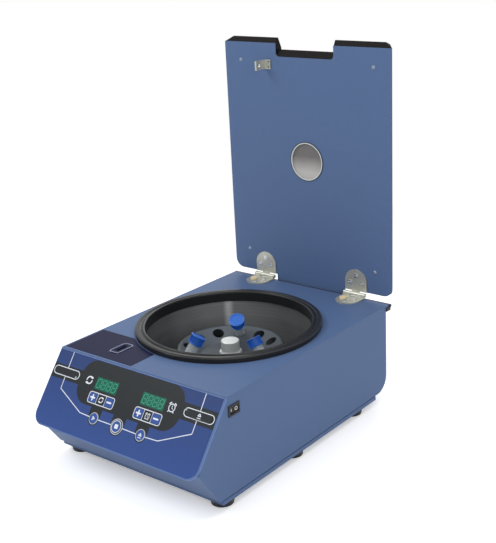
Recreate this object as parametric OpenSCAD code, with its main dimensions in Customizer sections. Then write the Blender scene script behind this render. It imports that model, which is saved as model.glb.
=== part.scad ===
// Low-speed bench-top centrifuge with a hinged lid and a fixed-angle tube rotor.
// Millimetres. X is the width, Y runs from the sloping front panel to the rear, Z is up.
// The lid stands open, three capped tubes sit in the rotor and the other pockets are free.

/* [Body] */
// Width over the side sheets
body_w = 300; // [288:1:330]
// Depth of the top cover
deck_d = 380; // [372:1:400]
// Height of the top cover above the table
deck_z = 153; // [150:1:175]
// Height of the top cover's folded rim
deck_rim = 3.8; // [3:0.1:6]
// Gap from the rear wall to the top cover's rear edge
rear_overhang = 8; // [6:0.5:10]
// Thickness of the sheet metal
sheet_t = 1.5; // [1.2:0.1:2]
// Height of the shell's lower edge above the table
shell_z = 17; // [15.5:0.5:20]
// Radius of the shell's lower rear bend
rear_bend_r = 24; // [16:1:30]
// Distance behind the front edge where the undercut meets the base
undercut_y = -21; // [-26:1:-12]

/* [Front panel] */
// Slope of the panel from the horizontal
panel_angle = 52.6; // [48:0.2:56]
// Length of the panel down its slope
panel_len = 109.6; // [106:0.2:112]
// Thickness of the panel plate
panel_t = 3.6; // [3.2:0.1:5]
// Corner radius at the panel's lower end
panel_r = 18; // [6:1:26]
// How far the panel overhangs the nose of the shell
panel_overhang = 9; // [4:0.5:12]
// Width of the painted edge round the overlay
overlay_margin = 2; // [1:0.5:4]
// Thickness of the membrane overlay
overlay_t = 0.6; // [0.4:0.1:1]
// Travel of a membrane key
key_travel = 0.5; // [0.3:0.1:0.8]
// Height that a key stands above the overlay
key_proud = 0.6; // [0.6:0.1:1]
// Width and height of a square key
key_w = 14; // [10:0.5:14.5]
// Height of a square key
key_h = 12.2; // [9:0.2:12.6]
// Spacing of the cells in a key row
key_pitch = 15.3; // [15:0.1:16]
// Distance of the key rows from the panel's top edge
key_row_t = 51.8; // [50.5:0.1:53]
// Distance of the key rows' centres from the middle
key_row_x = 42.6; // [40:0.2:45]
// Radius of the outer round keys
side_key_r = 7; // [5:0.5:8]
// Radius of the middle round key
mid_key_r = 9.3; // [7:0.1:10.5]
// Distance of the round keys from the panel's top edge
round_key_t = 77.3; // [75:0.1:80]
// Distance between round keys
round_key_pitch = 43; // [38:0.5:46]
// Width of a display window
window_w = 41; // [36:0.5:46]
// Height of a display window
window_h = 17; // [14:0.5:19]
// Distance of the display windows from the panel's top edge
window_t = 31.8; // [30:0.1:32.5]
// Length of a status pill
pill_w = 46; // [36:1:46]
// Height of a status pill
pill_h = 9.6; // [8:0.2:11]
// Distance of the status pills' centres in from the body's sides
pill_side_in = 29.5; // [28:0.5:33]
// Distance of the status pills from the panel's top edge
pill_t = 31; // [28:0.5:34]

/* [Base] */
// Height of the feet
foot_h = 9.5; // [8.5:0.5:12]
// Radius of a foot
foot_r = 16.5; // [12:0.5:18]
// Distance of the feet's centres in from the body's sides
foot_side_in = 19; // [18:1:30]
// Distance of the front feet behind the front edge
foot_front_y = 3; // [2:1:12]
// Distance of the rear feet in front of the base tray's rear end
foot_rear_in = 39; // [20:1:60]
// Distance behind the front edge where the base tray starts
tray_front_y = -16; // [-18:0.5:-14]
// Gap from the base tray's rear end to the rear wall
tray_back = 30; // [26:1:38]

/* [Chamber] */
// Distance of the rotor's axis behind the front edge
axis_y = 185; // [180:1:192]
// Inner radius of the bowl
bowl_r = 125.5; // [124:0.5:128]
// Sheet thickness of the bowl
bowl_t = 1.2; // [0.8:0.1:1.6]
// Height of the bowl's floor above the table
bowl_floor_z = 33; // [30:0.5:35]
// Radius of the bowl's lower bend
bowl_bend_r = 8; // [4:0.5:8]
// Outer radius of the gasket
gasket_or = 135; // [133:0.5:138]
// Inner radius of the gasket
gasket_ir = 120.5; // [118:0.5:123]
// Height of the gasket above the top cover
gasket_h = 9; // [7:0.2:9.2]

/* [Drive] */
// Radius of the motor
motor_r = 36; // [30:1:38]
// Height of the motor's top above the table
motor_top_z = 84; // [78:1:88]
// Radius of the drive shaft
shaft_r = 6; // [5:0.5:8]
// Running clearance of the shaft and the threads
run_gap = 0.05; // [0.02:0.01:0.09]

/* [Rotor] */
// Radius of the rotor's top rim
rotor_rim_r = 77; // [74:0.5:80]
// Height of the rotor's top rim above the table
rotor_rim_z = 123.5; // [118:0.5:128]
// Largest radius of the rotor
rotor_r = 116; // [114:0.5:118]
// Height of the rotor's underside above the table
rotor_low_z = 39; // [37:0.5:42]
// Radius of the ring of pockets at the rotor's face
pocket_ring_r = 62.5; // [60:0.5:64]
// Tilt of the pockets from the vertical
pocket_tilt = 32; // [28:1:33]
// Number of pockets
pockets = 12; // [9:3:12]
// Radius of a pocket
pocket_r = 8.6; // [8.4:0.1:8.9]
// Turn of the rotor
rotor_turn = -3.2; // [-15:0.1:15]
// Radius of the rotor knob
knob_r = 13.4; // [11:0.2:16]
// Height of the rotor knob over its flange
knob_h = 16; // [12:1:18]

/* [Tubes] */
// Outer radius of a tube
tube_r = 8.25; // [7.5:0.05:8.3]
// Length of a tube without its cap
tube_len = 118.5; // [112:0.5:119]
// Wall of a tube
tube_wall = 1; // [0.8:0.1:1.4]
// Outer radius of a tube cap
cap_r = 10.5; // [9.5:0.1:11]
// Height of a tube cap
cap_h = 13; // [10:0.5:14]
// Length of tube between the rotor's face and the cap
tube_show = 18.5; // [16:0.5:20]

/* [Lid] */
// How far the lid stands out past each side of the body
lid_side = 1.5; // [0:0.5:6]
// Height of the lid's hinge end above the table
lid_low_z = 161; // [159.5:0.5:164]
// Length of the lid plate
lid_len = 370; // [366:1:376]
// Corner radius of the hinge end
lid_r = 15; // [8:1:20]
// Thickness of the lid plate
lid_plate_t = 1.5; // [1.2:0.1:2]
// Depth of the outer cover
lid_cover_t = 14; // [12:0.5:18]
// Wall of the outer cover
lid_cover_wall = 2.5; // [2:0.1:3]
// Distance of the lid plate behind the hinge pins
lid_offset = 5.2; // [5:0.1:6]
// Width of the grip notch
notch_w = 106; // [80:1:120]
// Depth of the grip notch in the plate
notch_d = 20; // [14:1:24]
// Rise of the cover's lip beyond the plate
lip_rise = 7.6; // [5:0.2:9]
// Radius of the lid's window
pane_r = 29.3; // [24:0.1:34]
// Distance from the lid's hinge end to the window's centre
pane_s = 193.5; // [180:0.5:210]
// Distance of the lid rivets in from the lid's sides
rivet_side_in = 30.2; // [26:0.1:36]

/* [Hinges] */
// Height of the hinge pins above the table
hinge_z = 157.6; // [157.3:0.1:158.4]
// Distance of the hinge pins behind the top cover's rear edge
hinge_back = 1.8; // [1:0.2:3]
// Distance of the hinges' centres in from the body's sides
hinge_side_in = 62.5; // [50:0.5:70]
// Width of a hinge
hinge_w = 39; // [34:1:42]
// Length of a hinge leaf from the pin
leaf_len = 38; // [34:1:42]
// Thickness of a hinge leaf
leaf_t = 1.8; // [1.4:0.1:2]
// Outer radius of the hinge barrel
barrel_r = 3.2; // [3:0.1:3.4]
// Radius of the hinge pin
pin_r = 1.6; // [1.2:0.1:1.8]

/* [Lid lock] */
// Distance of the lock's centre in from the body's left side
lock_side_in = 77; // [72:0.5:84]
// Distance of the lock slot behind the front edge
lock_y = 40.5; // [38:0.5:44]
// Width of the slot
slot_w = 9; // [8:0.5:11]
// Length of the slot
slot_l = 21; // [20:0.5:24]
// Width of the frame round the slot
bezel_w = 18; // [15:0.5:22]
// Length of the frame round the slot
bezel_l = 33; // [28:0.5:36]
// Thickness of the striker
striker_t = 3; // [2:0.2:4]
// Width of the striker
striker_w = 14; // [12:0.5:15]
// Reach of the striker from the lid plate
striker_l = 24; // [22:0.5:25]
// Radius of the lock bolt
bolt_r = 2.5; // [2:0.1:2.8]

/* [Switch and inlet] */
// Distance of the power switch behind the front edge
switch_y = 13; // [12.5:0.5:20]
// Height of the power switch above the table
switch_z = 132.5; // [128:0.5:134]
// Width of the power switch
switch_w = 21.5; // [19:0.5:22]
// Height of the power switch
switch_h = 15; // [13:0.5:16]
// Height of the power inlet above the table
inlet_z = 62; // [56:1:80]
// Distance of the power inlet's centre in from the body's side
inlet_side_in = 55; // [40:1:80]
// Width of the power inlet's flange
inlet_w = 50; // [48:1:56]
// Height of the power inlet's flange
inlet_h = 31; // [29:1:36]

/* [Hidden] */
$fn = 64;
eps = 0.01;
rear_y = deck_d - rear_overhang;
hw = body_w / 2;
in_w = body_w - 2 * sheet_t;
lid_w = body_w + 2 * lid_side;
tray_d = rear_y - tray_back - tray_front_y;
tray_end = tray_front_y + tray_d;
foot_x = hw - foot_side_in;
foot_pitch = (tray_end - foot_rear_in - foot_front_y) / 2;
pill_x = hw - pill_side_in;
inlet_x = hw - inlet_side_in;
inlet_lip = 2;
inlet_depth = 16;
rivet_x = lid_w / 2 - rivet_side_in;
rivet_z = [lid_low_z + 35.3, lid_low_z + lid_len - 27.3];
hinge_x = hw - hinge_side_in;
lock_x = lock_side_in - hw;
// overlap of the rear wall on the base tray
wall_lap = 9;
// opening in the shell behind the panel, and the board in it
panel_cut_in = 25;
panel_cut_top = 16;
panel_cut_low = panel_len - 25.6;
board_in = 32;
board_h = 60;
board_t = 1.6;
standoff_r = 3;
bead_r = 2.8;
// deck label
label_in = 3.5;
label_front = 5;
label_d = 71;
label_w = hw - label_in - 19.5;
// motor mounting
plate_half = motor_r + 22;
damper_at = motor_r + 12;
motor_plate_t = 2;
damper_r = 8;
supply_w = 50;
motor_plate_z = foot_h + sheet_t + 8.4;
motor_low_z = motor_plate_z + motor_plate_t + 0.1;
// unit vectors of the panel: down its slope, and outward
pd = [-cos(panel_angle), -sin(panel_angle)];
pn = [-sin(panel_angle), cos(panel_angle)];
function on_slope(t, n) = [pd[0] * t + pn[0] * n, deck_z + pd[1] * t + pn[1] * n];
// the shell's sloping face lies behind the panel plate
face_n = -panel_t - 0.05;
nose_t = panel_len - panel_overhang;
nose = on_slope(nose_t, face_n);
shell_top_z = deck_z - deck_rim;
top_t = (shell_top_z - deck_z - pn[1] * face_n) / pd[1];
shell_front = on_slope(top_t, face_n);
under_len = norm([undercut_y - nose[0], shell_z - nose[1]]);
ud = [undercut_y - nose[0], shell_z - nose[1]] / under_len;
un = [-ud[1], ud[0]];
// centre of the whole object along Y, so that the origin lies under its middle
lid_y = deck_d + hinge_back + lid_offset;
back_y = lid_y + lid_plate_t + lid_cover_t;
front_y = on_slope(panel_len, 0)[0];
mid_y = (front_y + back_y) / 2;
hinge_y = deck_d + hinge_back;
lid_top_z = lid_low_z + lid_len;
// lower end of the lid's tongue between the hinges, below the deck's face
tongue_z = deck_z - 4.5;
gasket_top = deck_z + gasket_h;
flange_t = bowl_t;
flange_r = gasket_or - 3.4;
tray_top = shell_z - 1.5;
tray_floor = foot_h + sheet_t;
pocket_slope = 27;
dish_r = rotor_rim_r - 3.5;
dish_drop = (dish_r - 45) * tan(pocket_slope);
pocket_z = rotor_rim_z - (dish_r - pocket_ring_r) * tan(pocket_slope);
hub_z = rotor_rim_z - dish_drop;
tip_len = 21;
tip_r = 3;
tube_gap = pocket_r - tube_r;
tube_low = tube_show + cap_h - 1.5 - tube_len;
pane_z = lid_low_z + pane_s;
strike_z = hinge_z + hinge_y - lock_y;
bolt_z = hinge_z + lid_offset - striker_l + 6;
key_low = -1.1;
pocket_low = key_low - key_travel - 0.1;
blue = [0.27, 0.36, 0.53];
dark = [0.1, 0.1, 0.11];
zinc = [0.62, 0.62, 0.58];

// Extrudes a side profile, drawn as [y, z], along X from x0 over width w.
module along_x(x0, w) {
    translate([x0, 0, 0]) rotate([90, 0, 90]) linear_extrude(w) children();
}

// Extrudes a front outline, drawn as [x, z], from y0 to y0 + t.
module upright(y0, t) {
    translate([0, y0 + t, 0]) rotate([90, 0, 0]) linear_extrude(t) children();
}

// Puts children in the panel's frame: x across, y up the slope and z outward.
module on_panel(x = 0, t = 0, n = 0) {
    translate([0, 0, deck_z]) rotate([panel_angle, 0, 0]) translate([x, -t, n]) children();
}

// Puts children in a pocket's frame, with z along the pocket and out of its mouth.
module in_pocket(k) {
    translate([0, axis_y, 0]) rotate([0, 0, rotor_turn + k * 360 / pockets])
        translate([pocket_ring_r, 0, pocket_z]) rotate([0, -pocket_tilt, 0]) children();
}

module rounded(w, h, r) {
    union() {
        square([w - 2 * r, h], center = true);
        square([w, h - 2 * r], center = true);
        for (i = [-1, 1], j = [-1, 1])
            translate([i * (w / 2 - r), j * (h / 2 - r)]) circle(r);
    }
}

module both_sides(x) {
    for (s = [-1, 1]) translate([s * x, 0, 0]) children();
}

// Side profile of the shell, moved in by g on its sloping, lower and rear edges.
module shell_profile(g = 0, top = shell_top_z) {
    a = shell_front - pn * g;
    tt = (top - a[1]) / pd[1];
    low = shell_z + g;
    // the corner where the inner slope and the inner undercut meet
    n1 = nose - pn * g;
    n2 = nose + un * g;
    k = ((n2[0] - n1[0]) * ud[1] - (n2[1] - n1[1]) * ud[0]) / (pd[0] * ud[1] - pd[1] * ud[0]);
    c = n1 + pd * k;
    e = n2 + ud * ((low - n2[1]) / ud[1]);
    r = rear_bend_r - g;
    union() {
        polygon([
            a + pd * tt, c, e, [rear_y - rear_bend_r, low], [rear_y - rear_bend_r, shell_z + rear_bend_r],
            [rear_y - g, shell_z + rear_bend_r], [rear_y - g, top]
        ]);
        intersection() {
            translate([rear_y - rear_bend_r, shell_z + rear_bend_r]) circle(r);
            translate([rear_y - rear_bend_r, shell_z]) square([rear_bend_r, rear_bend_r]);
        }
    }
}

module sheet_profile() {
    difference() {
        shell_profile();
        shell_profile(sheet_t, shell_top_z + 1);
    }
}

module base_tray() {
    color(blue) difference() {
        union() {
            translate([-hw + 0.5, tray_front_y, foot_h]) cube([body_w - 1, tray_d, tray_top - foot_h]);
            translate([-hw + 4, tray_front_y + 3, foot_h]) cube([body_w - 8, tray_d - 6, shell_z - foot_h]);
        }
        translate([-hw + 5.5, tray_front_y + 4.5, tray_floor])
            cube([body_w - 11, tray_d - 9, shell_z]);
        for (i = [0:2]) both_sides(foot_x)
            translate([0, foot_front_y + i * foot_pitch, 0]) cylinder(r = 2.2, h = shell_z);
    }
}

module side_sheet(x0) {
    color(blue) along_x(x0, sheet_t) shell_profile();
}

module side_sheet_left() {
    side_sheet(-hw);
}

module side_sheet_right() {
    color(blue) difference() {
        along_x(hw - sheet_t, sheet_t) shell_profile();
        translate([hw - sheet_t - 1, switch_y - switch_w / 2 + 1, switch_z - switch_h / 2 + 1])
            cube([sheet_t + 2, switch_w - 2, switch_h - 2]);
    }
}

module rear_wall() {
    color(blue) difference() {
        along_x(-in_w / 2, in_w) intersection() {
            sheet_profile();
            translate([tray_end - wall_lap, 0]) square([tray_back + 2 * wall_lap, shell_top_z]);
        }
        translate([inlet_x, rear_y - 3, inlet_z])
            cube([inlet_w - 2 * inlet_lip + 1.4, 12, inlet_h - 2 * inlet_lip + 0.4], center = true);
    }
}

module front_wall() {
    color(blue) difference() {
        along_x(-in_w / 2, in_w) intersection() {
            sheet_profile();
            translate([nose[0] - 10, 0]) square([-nose[0] + 22, shell_top_z]);
        }
        on_panel(-hw + panel_cut_in, panel_cut_low, -panel_t - 8)
            cube([body_w - 2 * panel_cut_in, panel_cut_low - panel_cut_top, 10]);
    }
}

module top_cover() {
    top_in = deck_z - sheet_t;
    q = on_slope(0, -panel_t - 0.1) + [0.15, 0];
    color(blue) difference() {
        along_x(-hw, body_w) polygon([
            [0.15, deck_z], [deck_d, deck_z], [deck_d, shell_top_z], [shell_front[0] + 0.25, shell_top_z],
            [q[0], q[1]]
        ]);
        translate([-hw + sheet_t, 9, shell_top_z - 1])
            cube([in_w, deck_d - 9 - sheet_t, top_in - shell_top_z + 1]);
        translate([0, axis_y, shell_top_z - 5]) cylinder(r = bowl_r + bowl_t + 0.4, h = 20, $fn = 128);
        translate([lock_x, lock_y, deck_z]) cube([slot_w, slot_l, 20], center = true);
        for (s = [-1, 1]) translate([s * hinge_x, 0, 0]) deck_screw_places()
            translate([0, 0, deck_z - 6]) cylinder(r = 1.7, h = 10);
    }
}

// A rubber strip under the top cover's rear rim, with a bead behind its edge.
module rear_bumper() {
    bead_y = deck_d + 0.1 + bead_r;
    bead_z = deck_z - 0.3 - bead_r;
    color(dark) along_x(-hw - lid_side, body_w + 2 * lid_side) union() {
        translate([rear_y + 0.1, shell_top_z - 5.6]) square([rear_overhang + bead_r, 5.5]);
        translate([bead_y, bead_z]) circle(bead_r);
    }
}

module panel_outline(g, r) {
    w = body_w - 2 * g;
    l = panel_len - 2 * g;
    translate([0, -panel_len / 2]) union() {
        translate([-w / 2, -l / 2 + r]) square([w, l - r]);
        translate([-w / 2 + r, -l / 2]) square([w - 2 * r, r + 1]);
        for (s = [-1, 1]) translate([s * (w / 2 - r), -l / 2 + r]) circle(r);
    }
}

// The key cells, as [x, t, kind], and the round keys.
module square_key_at(x) {
    translate([x, -key_row_t]) children();
}

module key_holes(g) {
    for (s = [-1, 1], c = [-1, 1]) square_key_at(s * key_row_x + c * key_pitch)
        rounded(key_w + 2 * g, key_h + 2 * g, 2 + g);
    for (s = [-1, 1]) translate([s * round_key_pitch, -round_key_t]) circle(side_key_r + g);
    translate([0, -round_key_t]) circle(mid_key_r + g);
    translate([pill_x + 3, -pill_t - 0.5]) rounded(pill_w - 8 + 2 * g, pill_h + 2 * g, pill_h / 2 - 0.01 + g);
}

module lamp_places() {
    translate([-pill_x + pill_w / 2 - 4, -pill_t - 3]) children();
    translate([pill_x - pill_w / 2 + 1, -pill_t + 2.8]) children();
}

module front_panel() {
    color([0.36, 0.47, 0.66]) on_panel() difference() {
        union() {
            translate([0, 0, -panel_t]) linear_extrude(panel_t - 0.8) panel_outline(0, panel_r);
            translate([0, 0, -panel_t]) linear_extrude(panel_t) panel_outline(0.8, panel_r - 0.8);
        }
        translate([0, 0, pocket_low]) linear_extrude(5) key_holes(0.3);
        for (s = [-1, 1]) translate([s * key_row_x, -window_t, 0])
            cube([window_w + 0.2, window_h + 0.2, 20], center = true);
        lamp_places() translate([0, 0, -10]) cylinder(r = 1.7, h = 20, $fn = 24);
    }
}

module panel_overlay() {
    color([0.2, 0.28, 0.6]) on_panel() difference() {
        linear_extrude(overlay_t) panel_outline(overlay_margin, panel_r - overlay_margin);
        translate([0, 0, -1]) linear_extrude(5) key_holes(0.3);
        for (s = [-1, 1]) translate([s * key_row_x, -window_t, 0])
            cube([window_w + 0.2, window_h + 0.2, 20], center = true);
        lamp_places() translate([0, 0, -10]) cylinder(r = 1.7, h = 20, $fn = 24);
    }
}

module display_windows() {
    color([0.05, 0.25, 0.18]) for (s = [-1, 1]) on_panel(s * key_row_x, window_t, -panel_t)
        translate([-window_w / 2, -window_h / 2, 0]) cube([window_w, window_h, panel_t + 0.3]);
}

module display_modules() {
    color([0.1, 0.1, 0.1]) for (s = [-1, 1]) on_panel(s * key_row_x, window_t, -panel_t - 8.2)
        translate([-window_w / 2 + 1, -window_h / 2 + 0.5, 0]) cube([window_w - 2, window_h - 1, 8]);
}

module control_board() {
    color([0.1, 0.35, 0.2]) on_panel() union() {
        translate([-hw + board_in, 6 - panel_cut_low, -panel_t - 8.3 - board_t])
            cube([body_w - 2 * board_in, board_h, board_t]);
        // standoffs that carry the board on the plate
        for (x = [-1, 0, 1] * (hw - 62), t = [panel_cut_top + 6, panel_cut_low - 14])
            translate([x, -t, -panel_t - 8.4]) cylinder(r = standoff_r, h = 8.35);
    }
}

module panel_lamps() {
    color([0.8, 0.85, 0.8]) on_panel() lamp_places() {
        translate([0, 0, -panel_t]) cylinder(r = 1.55, h = panel_t + 0.9, $fn = 24);
        translate([0, 0, -panel_t - 8.2]) cylinder(r = 2.2, h = 8.2, $fn = 24);
    }
}

module pad(x, t) {
    color([0.22, 0.32, 0.66]) on_panel(x, t, key_low)
        linear_extrude(overlay_t + key_proud - key_low) children();
}

module square_key(x) {
    pad(x, key_row_t) rounded(key_w, key_h, 2);
}

module key_speed_up() {
    square_key(-key_row_x - key_pitch);
}

module key_speed_down() {
    square_key(-key_row_x + key_pitch);
}

module key_time_up() {
    square_key(key_row_x - key_pitch);
}

module key_time_down() {
    square_key(key_row_x + key_pitch);
}

module key_left() {
    pad(-round_key_pitch, round_key_t) circle(side_key_r);
}

module key_middle() {
    pad(0, round_key_t) circle(mid_key_r);
}

module key_right() {
    pad(round_key_pitch, round_key_t) circle(side_key_r);
}

module key_lid() {
    pad(pill_x + 3, pill_t + 0.5) rounded(pill_w - 8, pill_h, pill_h / 2 - 0.01);
}

module deck_label() {
    color([0.14, 0.16, 0.32]) translate([0, 0, deck_z]) linear_extrude(0.3) difference() {
        translate([-hw + label_in, label_front]) square([label_w, label_d]);
        translate([0, axis_y]) circle(gasket_or + 1.5, $fn = 128);
        translate([lock_x, lock_y]) square([bezel_w + 1, bezel_l + 1], center = true);
    }
}

module slot_bezel() {
    color([0.2, 0.2, 0.28]) translate([lock_x, lock_y, deck_z]) linear_extrude(1) difference() {
        rounded(bezel_w, bezel_l, 5);
        square([slot_w - 1, slot_l - 1], center = true);
    }
}

module lock_body() {
    top = deck_z - sheet_t - 0.05;
    color([0.55, 0.56, 0.58]) difference() {
        union() {
            translate([lock_x - 12, lock_y - 15, top - 30]) cube([24, 30, 30]);
            // coil housing of the bolt
            translate([lock_x - 42, lock_y - 9, bolt_z - 8]) cube([30.5, 18, 13]);
        }
        translate([lock_x - slot_w / 2, lock_y - slot_l / 2, bolt_z - 11])
            cube([slot_w, slot_l, 60]);
        translate([lock_x - 60, lock_y, bolt_z]) rotate([0, 90, 0]) cylinder(r = bolt_r + run_gap, h = 80 - 12);
    }
}

module lock_bolt() {
    color(zinc) translate([lock_x - slot_w / 2 - 0.3 - 48, lock_y, bolt_z]) rotate([0, 90, 0]) union() {
        cylinder(r = bolt_r, h = 48);
        cylinder(r = bolt_r + 2.2, h = 2.5);
    }
}

module chamber_bowl() {
    r = bowl_r;
    b = bowl_bend_r;
    t = bowl_t;
    z0 = bowl_floor_z;
    color([0.6, 0.61, 0.62]) translate([0, axis_y, 0]) rotate_extrude($fn = 128) union() {
        translate([r, z0 + b]) square([t, deck_z + flange_t - z0 - b]);
        translate([r, deck_z]) square([flange_r - r, flange_t]);
        intersection() {
            difference() {
                translate([r - b, z0 + b]) circle(b + t);
                translate([r - b, z0 + b]) circle(b);
            }
            translate([r - b, z0 - t]) square([b + t, b + t]);
        }
        translate([motor_r + 6, z0 - t]) square([r - b - motor_r - 6, t]);
        translate([motor_r + 6, z0 - t]) square([t, 16]);
    }
}

module chamber_gasket() {
    lo = deck_z + flange_t;
    color([0.06, 0.06, 0.065]) translate([0, axis_y, 0]) rotate_extrude($fn = 128) difference() {
        union() {
            translate([bowl_r - 4, lo + 0.05]) square([flange_r + 0.4 - bowl_r + 4, gasket_top - lo - 2.05]);
            translate([flange_r + 0.4, deck_z + 0.05]) square([gasket_or - flange_r - 0.4, gasket_h - 3]);
            translate([gasket_ir, lo - 8]) square([bowl_r - 0.3 - gasket_ir, gasket_h + 4]);
            // rounded outer bead, flat lid seat and inner lip
            translate([gasket_or - 2.2, gasket_top - 3.2]) circle(2.2);
            translate([gasket_or - 9, gasket_top - 4]) square([7, 3.2]);
            translate([gasket_ir + 2.4, gasket_top - 2.4]) circle(2.4);
            translate([gasket_ir, gasket_top - 8]) square([4.8, 5.6]);
        }
        translate([gasket_ir + 6.6, gasket_top]) circle(2);
    }
}

module motor() {
    color([0.3, 0.3, 0.32]) translate([0, axis_y, 0]) difference() {
        union() {
            translate([0, 0, motor_low_z]) cylinder(r = motor_r, h = motor_top_z - motor_low_z);
            translate([0, 0, motor_top_z - eps]) cylinder(r = 15, h = 3);
        }
        translate([0, 0, motor_top_z - 40]) cylinder(r = shaft_r + run_gap, h = 50);
    }
}

module motor_boot() {
    z0 = bowl_floor_z + 14.8;
    color([0.08, 0.08, 0.08]) translate([0, axis_y, 0]) rotate_extrude($fn = 96) union() {
        translate([motor_r + 0.1, z0 + 0.1]) square([9, 2.5]);
        translate([motor_r + 0.1, z0 - 6]) square([2, 7]);
        translate([motor_r + 7.5, z0 - 5]) square([1.6, 7]);
    }
}

module motor_plate() {
    color([0.5, 0.5, 0.5]) difference() {
        translate([-plate_half, axis_y - plate_half, motor_plate_z])
            cube([2 * plate_half, 2 * plate_half, motor_plate_t]);
        for (i = [-1, 1], j = [-1, 1]) translate([i * damper_at, axis_y + j * damper_at, motor_plate_z - 9])
            cylinder(r = damper_r / 3 - 0.067, h = 20);
    }
}

module motor_dampers() {
    color([0.08, 0.08, 0.08]) for (i = [-1, 1], j = [-1, 1])
        translate([i * damper_at, axis_y + j * damper_at, tray_floor + 0.05]) union() {
            cylinder(r = damper_r, h = motor_plate_z - 0.1 - tray_floor);
            cylinder(r = damper_r / 3 - 0.167, h = motor_plate_z + motor_plate_t + 0.2 - tray_floor);
            translate([0, 0, motor_plate_z + motor_plate_t + 0.1 - tray_floor]) cylinder(r = 5, h = 2);
        }
}

module power_board() {
    color([0.1, 0.3, 0.2]) translate([-hw + 7, tray_end - supply_w - 12, tray_floor + 6]) union() {
        cube([supply_w, supply_w, board_t]);
        translate([5, supply_w - 26, 1.5]) cube([24, 22, 20]);
        translate([12, 11, 1.5]) cylinder(r = 8, h = 18);
        translate([supply_w - 17, 12, 1.5]) cube([12, supply_w - 18, 14]);
        for (q = [[5, 5], [supply_w - 5, 5], [supply_w - 5, supply_w - 5], [27, supply_w - 5]])
            translate([q[0], q[1], -5.95]) cylinder(r = standoff_r, h = 6);
    }
}

module drive_shaft() {
    color([0.7, 0.7, 0.7]) translate([0, axis_y, 0]) union() {
        translate([0, 0, motor_top_z - 30]) cylinder(r = shaft_r, h = hub_z - 2 - motor_top_z + 30);
        translate([0, 0, hub_z - 2.1]) cylinder(r = 4, h = 13.1);
    }
}

module rotor_shape() {
    q = [rotor_rim_r, rotor_rim_z - 1];
    hub_r = 45;
    rotate_extrude($fn = 128) polygon([
        [shaft_r, motor_top_z + 6], [18, motor_top_z + 6], [18, hub_z - 9.5], [56, hub_z - 9.5],
        [rotor_r - 21.5, rotor_low_z], [rotor_r, rotor_low_z], [rotor_r, rotor_low_z + 18],
        [rotor_rim_r, rotor_rim_z - 1], [rotor_rim_r - 1, rotor_rim_z], [dish_r, rotor_rim_z],
        [hub_r, hub_z], [4 + run_gap, hub_z], [4 + run_gap, hub_z - 2], [shaft_r, hub_z - 2]
    ]);
}

module rotor() {
    color([0.33, 0.33, 0.33]) difference() {
        translate([0, axis_y, 0]) rotor_shape();
        for (k = [0:pockets - 1]) in_pocket(k) pocket_bore();
    }
}

// A pocket: a straight bore with a conical seat for the tube's tip.
module pocket_bore() {
    union() {
        translate([0, 0, tube_low + tip_len]) cylinder(r = pocket_r, h = 20 - tube_low - tip_len);
        translate([0, 0, tube_low - 0.4]) cylinder(r1 = tip_r + tube_gap, r2 = pocket_r, h = tip_len + 0.4);
    }
}

module rotor_knob() {
    color([0.86, 0.86, 0.83]) translate([0, axis_y, hub_z + 0.05]) difference() {
        rotate_extrude() polygon([
            [0, 0], [16.5, 0], [16.5, 5], [15.5, 6], [knob_r, 6], [knob_r, 5 + knob_h],
            [knob_r - 1, 6 + knob_h], [0, 6 + knob_h]
        ]);
        translate([0, 0, -1]) cylinder(r = 4 + run_gap, h = 13);
    }
}

module tube_body() {
    r = tube_r;
    color([0.8, 0.88, 0.92, 0.5]) difference() {
        union() {
            translate([0, 0, tube_low + tip_len]) cylinder(r = r, h = tube_len - tip_len);
            translate([0, 0, tube_low]) cylinder(r1 = tip_r, r2 = r, h = tip_len + eps);
        }
        translate([0, 0, tube_low + tip_len]) cylinder(r = r - tube_wall, h = tube_len);
        translate([0, 0, tube_low + 1.5])
            cylinder(r1 = tip_r - tube_wall + 0.3, r2 = r - tube_wall, h = tip_len - 1.5 + eps);
    }
}

module cap_body() {
    color([0.1, 0.36, 0.8]) translate([0, 0, tube_show]) difference() {
        union() {
            cylinder(r = cap_r, h = cap_h - 0.8);
            cylinder(r = cap_r - 0.8, h = cap_h);
        }
        translate([0, 0, -1]) cylinder(r = tube_r + run_gap, h = cap_h - 0.45);
    }
}

module tube_a() {
    in_pocket(0) tube_body();
}

module tube_b() {
    in_pocket(pockets / 3) tube_body();
}

module tube_c() {
    in_pocket(2 * pockets / 3) tube_body();
}

module cap_a() {
    in_pocket(0) cap_body();
}

module cap_b() {
    in_pocket(pockets / 3) cap_body();
}

module cap_c() {
    in_pocket(2 * pockets / 3) cap_body();
}

module switch_housing() {
    color(dark) translate([hw, switch_y, switch_z]) difference() {
        union() {
            translate([0.05, -switch_w / 2, -switch_h / 2]) cube([1.4, switch_w, switch_h]);
            translate([-17, -switch_w / 2 + 1.2, -switch_h / 2 + 1.2])
                cube([17.1, switch_w - 2.4, switch_h - 2.4]);
        }
        translate([-6, -switch_w / 2 + 2.4, -switch_h / 2 + 2.4])
            cube([10, switch_w - 4.8, switch_h - 4.8]);
    }
}

// The rocker rests with its front half pressed in and turns about a vertical pin.
module switch_rocker() {
    w = switch_w - 5.6;
    h = switch_h - 5.2;
    color([0.13, 0.13, 0.14]) translate([hw - 2.4, switch_y, switch_z - h / 2]) rotate([0, 0, -6])
        linear_extrude(h) difference() {
            union() {
                translate([-2, -w / 2]) square([4.4, w]);
                circle(2.4);
            }
            translate([14.6, 0]) circle(12.2, $fn = 96);
        }
}

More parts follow.
